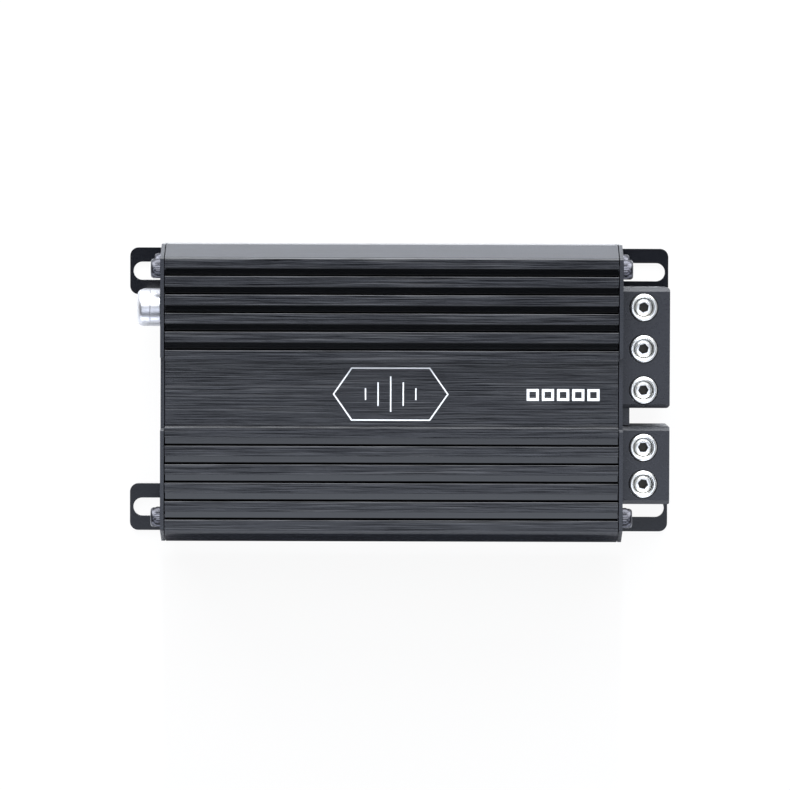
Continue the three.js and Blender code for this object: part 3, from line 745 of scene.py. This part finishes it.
def base_plate(materials):
    low, high = box_mm("base_plate")
    input_x = box_mm("end_plate_input")[0].x
    power_x = box_mm("end_plate_power")[1].x
    outer = high.y
    inner = outer - EAR_WIDTH
    right_rear = [
        (power_x, inner, EAR_ROOT),
        (high.x, inner, EAR_CORNER),
        (high.x, outer, EAR_CORNER),
    ]
    left_rear = [
        (low.x, outer, EAR_CORNER),
        (low.x, inner, EAR_CORNER),
        (input_x, inner, EAR_ROOT),
    ]
    left_front = [(x, -y, radius) for x, y, radius in reversed(left_rear)]
    right_front = [(x, -y, radius) for x, y, radius in reversed(right_rear)]
    loops = [rounded(right_rear + left_rear + left_front + right_front, 1, 10)]
    for side in (1, -1):
        for body_x, tip_x in ((input_x + 0.6, low.x), (power_x - 0.6, high.x)):
            turn = math.copysign(1, tip_x - body_x)
            end = tip_x - turn * SLOT_RIM
            y0 = side * SLOT_CENTRE_Y - SLOT_WIDTH / 2
            y1 = y0 + SLOT_WIDTH
            round_end = SLOT_WIDTH / 2 - 0.01
            slot = [(body_x, y0, 0), (end, y0, round_end), (end, y1, round_end), (body_x, y1, 0)]
            loops.append(rounded(slot, 1, 12))
    for number in range(1, 5):
        centre = middle_of(f"base_screw_{number}")
        loops.append(circle(centre.x, centre.y, 2.62, 36))
    piece = swept("slotted_base_plate", loops, 0, SHEET, along_z)
    soften(piece, 0.22)
    apply_modifiers(piece)
    return dress(piece, materials["steel"], "amplifier", ["base_plate"], 15)


def board_posts(materials):
    """Pressed standoffs of the base plate that carry the board."""
    for number in range(1, 5):
        centre = middle_of(f"board_screw_{number}")
        profile = [(1.3, SHEET), (2.8, SHEET), (2.8, 4.5), (1.3, 4.5), (1.3, SHEET)]
        post = turned(f"board_post_{number}", profile, (centre.x, centre.y, 0), segments=32)
        dress(post, materials["steel"], "amplifier", [])


# ------------------------------------------------------------------ screws

HEAD_RADIUS = 2.65
HEAD_HEIGHT = 2.8


def cap_screw(node, direction, materials):
    """Knurled socket cap screw along X, its head outside the end plate."""
    low, high = box_mm(node)
    centre = middle_of(node)
    seat = high.x - HEAD_HEIGHT if direction > 0 else low.x + HEAD_HEIGHT
    knurl = 0.09
    profile = [
        (0, -8),
        (1.2, -8),
        (1.5, -7.7),
        (1.5, 0.1),
        (HEAD_RADIUS - 0.15, 0.1),
        (HEAD_RADIUS, 0.25, knurl),
        (HEAD_RADIUS, 1.1, knurl),
        (HEAD_RADIUS, HEAD_HEIGHT - 0.75, knurl),
        (HEAD_RADIUS - 0.06, HEAD_HEIGHT - 0.55),
        (HEAD_RADIUS - 0.2, HEAD_HEIGHT - 0.25),
        (HEAD_RADIUS - 0.45, HEAD_HEIGHT - 0.05),
        (HEAD_RADIUS - 0.7, HEAD_HEIGHT),
        (0, HEAD_HEIGHT),
    ]
    axis = "X" if direction > 0 else "-X"
    piece = turned(node.replace("end_screw", "cap_screw"), profile, (seat, centre.y, centre.z), axis, 72)
    turn = centre.y * 0.7
    far = seat + direction * (HEAD_HEIGHT - 1.5)
    end = seat + direction * (HEAD_HEIGHT + 1)
    socket = hex_prism("socket", 2.5, (0, centre.y, centre.z), min(far, end), max(far, end), "X", turn)
    carve(piece, socket)
    finishes = [materials["dark_chrome"], materials["socket"]]
    return dress(piece, finishes, "amplifier", [node], 30)


def base_screw(number, materials):
    """Countersunk socket screw in the underside of the base plate."""
    node = f"base_screw_{number}"
    centre = middle_of(node)
    profile = [(0, 0.1), (2.35, 0.1), (2.5, 0.22), (1.2, 1.3), (1.2, 4.4), (0, 4.4)]
    piece = turned(f"countersunk_screw_{number}", profile, (centre.x, centre.y, 0), segments=48)
    socket = hex_prism("socket", 1.5, (centre.x, centre.y, 0), -1, 0.9, "Z", number * 0.6)
    carve(piece, socket)
    finishes = [materials["steel"], materials["socket"]]
    return dress(piece, finishes, "amplifier", [node], 30)


SET_SCREW_RADIUS = 2.48


def set_screw(node, body, turn, materials):
    """Socket set screw with thread ridges; its face has a chamfered rim."""
    low, high = box_mm(node)
    centre = middle_of(node)
    top = high.z - low.z
    profile = [(0, 0), (1.7, 0), (2.3, 0.6)]
    height = 0.9
    while height < top - 1.1:
        profile += [(SET_SCREW_RADIUS, height), (2.28, height + 0.4)]
        height += 0.8
    profile += [(SET_SCREW_RADIUS, top - 0.55), (2.3, top - 0.25), (2.02, top - 0.04), (1.9, top), (0, top)]
    name = node.replace("set_screw", "clamp_screw")
    piece = turned(name, profile, (centre.x, centre.y, low.z), segments=48)
    socket = hex_prism("socket", 2.5, (centre.x, centre.y, high.z), -2.4, 1, "Z", turn)
    carve(piece, socket)
    return dress(piece, [materials["nickel"], materials["socket"]], body, [node], 25)


# ------------------------------------------------------------------ screw terminals

POWER_TERMINALS = ("power_terminal_remote", "power_terminal_supply", "power_terminal_ground")
SPEAKER_TERMINALS = ("speaker_terminal_positive", "speaker_terminal_negative")
TERMINAL_X = 66.5
NECK_RADIUS = 3.75
BORE_RADIUS = 2.72
WIRE_Z = 11.0
WIRE_RADIUS = 3.1


def terminal(node, materials):
    """Nickel-plated terminal: a block with a round neck, a wire bore and a tail to the board."""
    low, high = box_mm(node)
    y = middle_of(node).y
    x0 = TERMINAL_X - 4.8
    x1 = TERMINAL_X + 4.8
    body = cuboid(node.replace("terminal", "connector"), (x0, low.y, low.z), (x1, high.y, 17))
    tail = cuboid("tail", (low.x, y - 2.2, low.z), (x0 + 1, y + 2.2, low.z + 1.6))
    top = high.z
    rim = 0.55
    angles = [math.radians(a) for a in (0, 18, 36, 54, 72, 90)]
    arc = [(NECK_RADIUS - rim + rim * math.cos(a), top - rim + rim * math.sin(a)) for a in angles]
    neck = turned("neck", [(0, 16), (NECK_RADIUS, 16), *arc, (0, top)], (TERMINAL_X, y, 0))
    fuse(body, neck, tail)
    bore_profile = [(0, WIRE_Z), (BORE_RADIUS, WIRE_Z), (BORE_RADIUS, top - 1.3)]
    for height in (top - 1.3, top - 0.8):
        bore_profile += [(BORE_RADIUS - 0.12, height + 0.12), (BORE_RADIUS, height + 0.3)]
    mouth = BORE_RADIUS + 0.28
    bore_profile += [(BORE_RADIUS, top - 0.24), (BORE_RADIUS + 0.08, top - 0.1)]
    bore_profile += [(mouth, top + 0.02), (mouth, top + 0.1), (0, top + 0.1)]
    bore = turned("bore", bore_profile, (TERMINAL_X, y, 0))
    wire = swept("wire", [circle(y, WIRE_Z, WIRE_RADIUS)], x0 + 1.6, x1 + 1, along_x)
    carve(body, bore, wire)
    return dress(body, materials["nickel"], "amplifier", [node], 30)


COVER_WALL = 1.5
COVER_BEVEL = 1.1
COVER_GAP = 0.3
POWER_COVER_START = -4.0
RIB_WIDTH = 2.1
NECK_GAP = 0.18


def round_edges(piece, chosen, width, segments):
    """Rounds the edges for which chosen(middle, direction) holds, in mm."""
    work = bmesh.new()
    work.from_mesh(piece.data)
    edges = []
    for edge in work.edges:
        first, last = (vertex.co / MM for vertex in edge.verts)
        if chosen((first + last) / 2, (last - first).normalized()):
            edges.append(edge)
    bmesh.ops.bevel(work, geom=edges, offset=width * MM, segments=segments, profile=0.5, affect="EDGES")
    work.to_mesh(piece.data)
    work.free()


def terminal_cover(node, terminals, corner, materials):
    """Moulded cover with chamfered top edges, a hole for each neck and one for each wire. The power
    cover has a rib that fills the gap to the speaker cover."""
    low, high = box_mm(node)
    boxes = [box_mm(name) for name in terminals]
    y0 = POWER_COVER_START if node == "power_terminal_cover" else low.y
    y1 = high.y
    outline = [
        (y0, low.z),
        (y1, low.z),
        (y1, high.z - COVER_BEVEL),
        (y1 - COVER_BEVEL, high.z),
        (y0 + COVER_BEVEL, high.z),
        (y0, high.z - COVER_BEVEL),
    ]
    piece = swept(f"{node}_shell", [outline], low.x, high.x, along_x)
    round_edges(piece, lambda middle, way: abs(way.z) > 0.9 and middle.x > high.x - 0.1, corner, 4)
    cutters = []
    for terminal_low, terminal_high in boxes:
        y = (terminal_low.y + terminal_high.y) / 2
        cutters.append(cuboid(
            "pocket",
            (low.x - 1, terminal_low.y - COVER_GAP, terminal_low.z - COVER_GAP),
            (high.x - COVER_WALL, terminal_high.y + COVER_GAP, 17 + COVER_GAP),
        ))
        neck = [circle(TERMINAL_X, y, NECK_RADIUS + NECK_GAP, 48)]
        cutters.append(swept("neck", neck, 16, high.z + 1, along_z))
        wire = [circle(y, WIRE_Z, WIRE_RADIUS + COVER_GAP, 40)]
        cutters.append(swept("wire", wire, high.x - COVER_WALL - 1, high.x + 1, along_x))
    if node == "power_terminal_cover":
        rib = cuboid("rib", (low.x, low.y, low.z + 4), (low.x + RIB_WIDTH, y0 + 1, high.z - 2))
        fuse(piece, rib)
    carve(piece, *cutters)
    soften(piece, 0.16)
    apply_modifiers(piece)
    return dress(piece, materials["cover"], "amplifier", [node], 30)


# ------------------------------------------------------------------ input end

CONTROLS = ("gain", "filter", "bass")
STATUS_LIGHT_Z = 9.6
JACK_RADIUS = 5
JACK_REACH = 6.6
JACK_NOSE = 1.4


def phono_jack(name, ring_finish, materials):
    """Phono socket: a metal barrel, a coloured insulating ring and the sprung centre contact."""
    low, high = box_mm(f"jack_shell_{name}")
    centre = middle_of(f"jack_shell_{name}")
    place = (low.x, centre.y, centre.z)
    length = high.x - low.x
    seat = JACK_REACH - 0.27
    arc = [
        (JACK_RADIUS - JACK_NOSE + JACK_NOSE * math.sin(t), JACK_NOSE - JACK_NOSE * math.cos(t))
        for t in (0, 0.3, 0.6, 0.9, 1.2, 1.57)
    ]
    groove = [(JACK_RADIUS, 3.4), (JACK_RADIUS - 0.06, 3.5), (JACK_RADIUS, 3.6)]
    foot = [(JACK_RADIUS, JACK_REACH - 0.5), (4.8, seat), (4.1, seat), (4.1, length), (3.3, length)]
    shell_profile = [(3.3, 0.25), (3.5, 0.03), *arc, *groove, *foot, (3.3, 0.25)]
    shell = turned(f"phono_barrel_{name}", shell_profile, place, "X", 72)
    dress(shell, materials["satin_nickel"], "amplifier", [f"jack_shell_{name}"], 30)
    ring_profile = [(2.1, 1), (3.1, 1), (3.1, JACK_REACH), (2.1, JACK_REACH), (2.1, 1)]
    ring = turned(f"phono_insulator_{name}", ring_profile, place, "X", 48)
    dress(ring, materials[ring_finish], "amplifier", [f"jack_insulator_{name}"], 30)
    tube_profile = [(0, 8.2), (1.6, 8.2), (1.6, 1.35), (1.75, 1.2), (1.9, 1.35), (1.9, 8.8), (0, 8.8)]
    tube = turned(f"phono_contact_{name}", tube_profile, place, "X", 40)
    dress(tube, materials["nickel"], "amplifier", [f"jack_contact_{name}"], 30)


def control_shaft(name, materials):
    """Plastic end of a control, with a slot for a screwdriver."""
    node = f"{name}_control_shaft"
    face_x = box_mm(node)[0].x
    centre = middle_of(node)
    profile = [(0, 0), (1.9, 0), (2.1, 0.08), (2.2, 0.3), (2.2, 1.9), (1.7, 1.9), (1.7, 4.8), (0, 4.8)]
    piece = turned(f"{name}_adjuster", profile, (face_x, centre.y, centre.z), "X", 48)
    half_width = 0.35
    half_length = 1.6
    slot = cuboid(
        "slot",
        (face_x - 1, centre.y - half_width, centre.z - half_length),
        (face_x + 0.8, centre.y + half_width, centre.z + half_length),
    )
    carve(piece, slot)
    return dress(piece, materials["white_plastic"], f"{name}_control", [node], 30)


def socket_contacts(materials):
    """Sprung contact wires in the roof of the remote level socket."""
    low, high = box_mm("remote_level_socket")
    centre = middle_of("remote_level_socket")
    for number in range(4):
        y = centre.y + (number - 1.5) * 1.1
        wire = cuboid(
            f"socket_contact_{number + 1}",
            (low.x + 2, y - 0.2, centre.z + 2.2),
            (high.x - 2.5, y + 0.2, centre.z + 2.5),
        )
        dress(wire, materials["contact_gold"], "amplifier", [])


def status_lens(materials):
    """Domed lens of the indicator, just proud of the end plate."""
    node = "status_light"
    face_x = box_mm(node)[0].x
    y = middle_of(node).y
    dome = [(1.5 * math.sin(t), 0.9 - 0.9 * math.cos(t)) for t in (0, 0.35, 0.7, 1.05, 1.57)]
    piece = turned("status_lens", [*dome, (1.5, 4.5), (0, 4.5)], (face_x - 0.3, y, STATUS_LIGHT_Z), "X", 40)
    return dress(piece, materials["lens"], "amplifier", [node], 40)


# ------------------------------------------------------------------ generic marks on the panel

MARK_HEIGHT = 0.03
LINE = 0.36


def flat_mark(name, loops, materials):
    piece = swept(name, loops, PANEL_Z + 0.005, PANEL_Z + MARK_HEIGHT, along_z)
    return dress(piece, materials["ink"], "amplifier", [])


def panel_marks(materials):
    """A plain outlined badge with level bars, and a row of plain hollow squares."""
    x0, x1, half = -17.9, 13.4, 7.2
    cut = 5.0
    outer = [(x0, 0), (x0 + cut, -half), (x1 - cut, -half), (x1, 0), (x1 - cut, half), (x0 + cut, half)]
    tip = LINE * 1.2
    side = cut + LINE * 0.6
    inner = [
        (x0 + tip, 0),
        (x0 + side, -half + LINE),
        (x1 - side, -half + LINE),
        (x1 - tip, 0),
        (x1 - side, half - LINE),
        (x0 + side, half - LINE),
    ]
    flat_mark("badge_outline", [outer, inner], materials)
    middle = (x0 + x1) / 2
    for number, height in enumerate((1.6, 3.2, 4.8, 3.2, 1.6)):
        x = middle + (number - 2) * 3.4
        left = x - LINE / 2
        right = x + LINE / 2
        bar = [(left, -height), (right, -height), (right, height), (left, height)]
        flat_mark(f"badge_bar_{number + 1}", [bar], materials)
    first_x = 34.5
    pitch = 4.1
    for number in range(5):
        x = first_x + number * pitch
        block = [(x, -1.7), (x + 3.3, -1.7), (x + 3.3, 1.5), (x, 1.5)]
        hole = [(x + 0.75, -0.95), (x + 2.55, -0.95), (x + 2.55, 0.75), (x + 0.75, 0.75)]
        flat_mark(f"panel_block_{number + 1}", [block, hole], materials)


# ------------------------------------------------------------------ pieces kept from the CAD

KEPT = {
    "jack_housing": ("black_plastic", 0.3),
    "remote_level_socket": ("black_plastic", 0.2),
    "gain_control_body": ("black_plastic", 0.3),
    "filter_control_body": ("black_plastic", 0.3),
    "bass_control_body": ("black_plastic", 0.3),
    "circuit_board": ("board", 0),
    "board_screw_1": ("zinc", 0),
    "board_screw_2": ("zinc", 0),
    "board_screw_3": ("zinc", 0),
    "board_screw_4": ("zinc", 0),
    "transistor_rear_1": ("black_plastic", 0),
    "transistor_rear_2": ("black_plastic", 0),
    "transistor_front_1": ("black_plastic", 0),
    "transistor_front_2": ("black_plastic", 0),
    "thermal_pad_rear": ("pad", 0),
    "thermal_pad_front": ("pad", 0),
    "clamp_bar_rear": ("zinc", 0.3),
    "clamp_bar_front": ("zinc", 0.3),
    "power_transformer": ("winding", 0),
    "output_inductor": ("winding", 0),
    "supply_capacitor_1": ("sleeve", 0),
    "supply_capacitor_2": ("sleeve", 0),
}


def keep_nodes(materials):
    """Pieces that the CAD already shows well enough get a material, and a bevel where they need one."""
    for name, (finish, bevel) in KEPT.items():
        node = NODES[name]
        if bevel:
            soften(node, bevel)
        for slot in node.material_slots:
            slot.material = materials[finish]


# ------------------------------------------------------------------ floor and light


def make_floor():
    """A pale floor. The camera sees it nearly white; other rays see a matt, lit floor."""
    size = 3000
    corners = [(-size, -size, 0), (size, -size, 0), (size, size, 0), (-size, size, 0)]
    floor = new_object("floor", mesh_from("floor", corners, [(0, 1, 2, 3)]))
    m = Nodes("pale_floor")
    cloud = m.noise(m.coordinates(), 2.0, 2.0, 0.5)
    m.drive(Base_Color=m.ramp(cloud, [(0.3, 0.86), (0.7, 0.88)]))
    m.set(Roughness=0.8)
    glow = m.add("ShaderNodeEmission")
    glow.inputs["Color"].default_value = (1, 1, 1, 1)
    path = m.add("ShaderNodeLightPath")
    mix = m.add("ShaderNodeMixShader")
    m.link(m.maths("MULTIPLY", path.outputs["Is Camera Ray"], 0.93), mix.inputs[0])
    m.link(m.shader.outputs[0], mix.inputs[1])
    m.link(glow.outputs[0], mix.inputs[2])
    m.link(mix.outputs[0], m.tree.nodes["Material Output"].inputs["Surface"])
    floor.data.materials.append(m.material)


def make_front_shade_sheet():
    """A dark sheet on the floor in front, seen only in reflections: painted shade standing in for the
    shadowed floor in front, that keeps the front edge dark.
    """
    x0, x1 = -65.5, 62
    near, far = -46, -230
    above_floor = 0.4
    corners = [(x, y, above_floor) for x, y in ((x0, near), (x1, near), (x1, far), (x0, far))]
    flag = new_object("front_painted_shade_sheet", mesh_from("front_painted_shade_sheet", corners, [(0, 1, 2, 3)]))
    m = Nodes("painted_shade_card")
    m.drive(Base_Color=m.ramp(m.noise(m.coordinates(), 30.0), [(0.3, 0.02), (0.7, 0.03)]))
    m.set(Roughness=0.9)
    flag.data.materials.append(m.material)
    flag.visible_camera = False
    flag.visible_shadow = False


def area_light(name, place, target, size, radiance, colour):
    """A soft box that the camera doesn't see; radiance is what a mirror would show of it."""
    data = bpy.data.lights.new(name, "AREA")
    data.shape = "RECTANGLE"
    data.size, data.size_y = size
    data.energy = radiance * math.pi * size[0] * size[1]
    data.color = colour
    light = bpy.data.objects.new(name, data)
    bpy.context.scene.collection.objects.link(light)
    light.location = place
    light.rotation_euler = (Vector(target) - Vector(place)).to_track_quat("-Z", "Y").to_euler()
    light.visible_camera = False
    return light


def make_world():
    """A room that is dark overhead and pale towards the horizon."""
    world = bpy.data.worlds.new("studio")
    bpy.context.scene.world = world
    world.use_nodes = True
    tree = world.node_tree
    source = tree.nodes.new("ShaderNodeTexCoord")
    split = tree.nodes.new("ShaderNodeSeparateXYZ")
    ramp = tree.nodes.new("ShaderNodeValToRGB")
    ramp.color_ramp.interpolation = "EASE"
    elements = ramp.color_ramp.elements
    elements[0].position = 0.15
    elements[0].color = (0.78, 0.8, 0.84, 1)
    elements[1].position = 0.85
    elements[1].color = (0.06, 0.065, 0.075, 1)
    tree.links.new(source.outputs["Generated"], split.inputs["Vector"])
    tree.links.new(split.outputs["Z"], ramp.inputs["Fac"])
    tree.links.new(ramp.outputs["Color"], tree.nodes["Background"].inputs["Color"])


def make_light():
    make_world()
    rear_colour = (0.97, 1.0, 1.05)
    front_colour = (0.91, 0.98, 1.13)
    area_light("rear_softbox", (0, 1.35, 0.7), (0, 0, 0.1), (2.4, 1.3), 8.0, rear_colour)
    area_light("rear_overhead_softbox", (0, 1.0, 2.0), (0, 0, 0), (1.8, 0.9), 5.0, rear_colour)
    area_light("front_overhead_softbox", (0, -0.61, 2.2), (0, -0.61, 0), (1.6, 1.0), 2.45, front_colour)
    area_light("front_softbox", (0, -1.4, 0.42), (0, 0, 0), (2.4, 0.6), 2.6, front_colour)
    bpy.context.scene.view_settings.view_transform = "Standard"


# ------------------------------------------------------------------ assembly


def build():
    materials = make_materials()
    heatsink(materials)
    base_plate(materials)
    board_posts(materials)
    end_plate("input", input_end_holes(), materials)
    end_plate("power", power_end_holes(), materials)
    for end, direction in (("input", -1), ("power", 1)):
        for place in END_SCREW_PLACES:
            cap_screw(f"end_screw_{end}_{place}", direction, materials)
    for number in range(1, 5):
        base_screw(number, materials)
    for turn, node in enumerate(POWER_TERMINALS + SPEAKER_TERMINALS):
        terminal(node, materials)
        body = node.replace("terminal", "screw")
        set_screw(node.replace("terminal", "set_screw"), body, 0.4 + turn * 0.9, materials)
    terminal_cover("power_terminal_cover", POWER_TERMINALS, 0.9, materials)
    terminal_cover("speaker_terminal_cover", SPEAKER_TERMINALS, 0.4, materials)
    phono_jack("upper", "white_plastic", materials)
    phono_jack("lower", "red_plastic", materials)
    for name in CONTROLS:
        control_shaft(name, materials)
    socket_contacts(materials)
    status_lens(materials)
    panel_marks(materials)
    keep_nodes(materials)


make_camera()
build()
make_floor()
make_front_shade_sheet()
make_light()
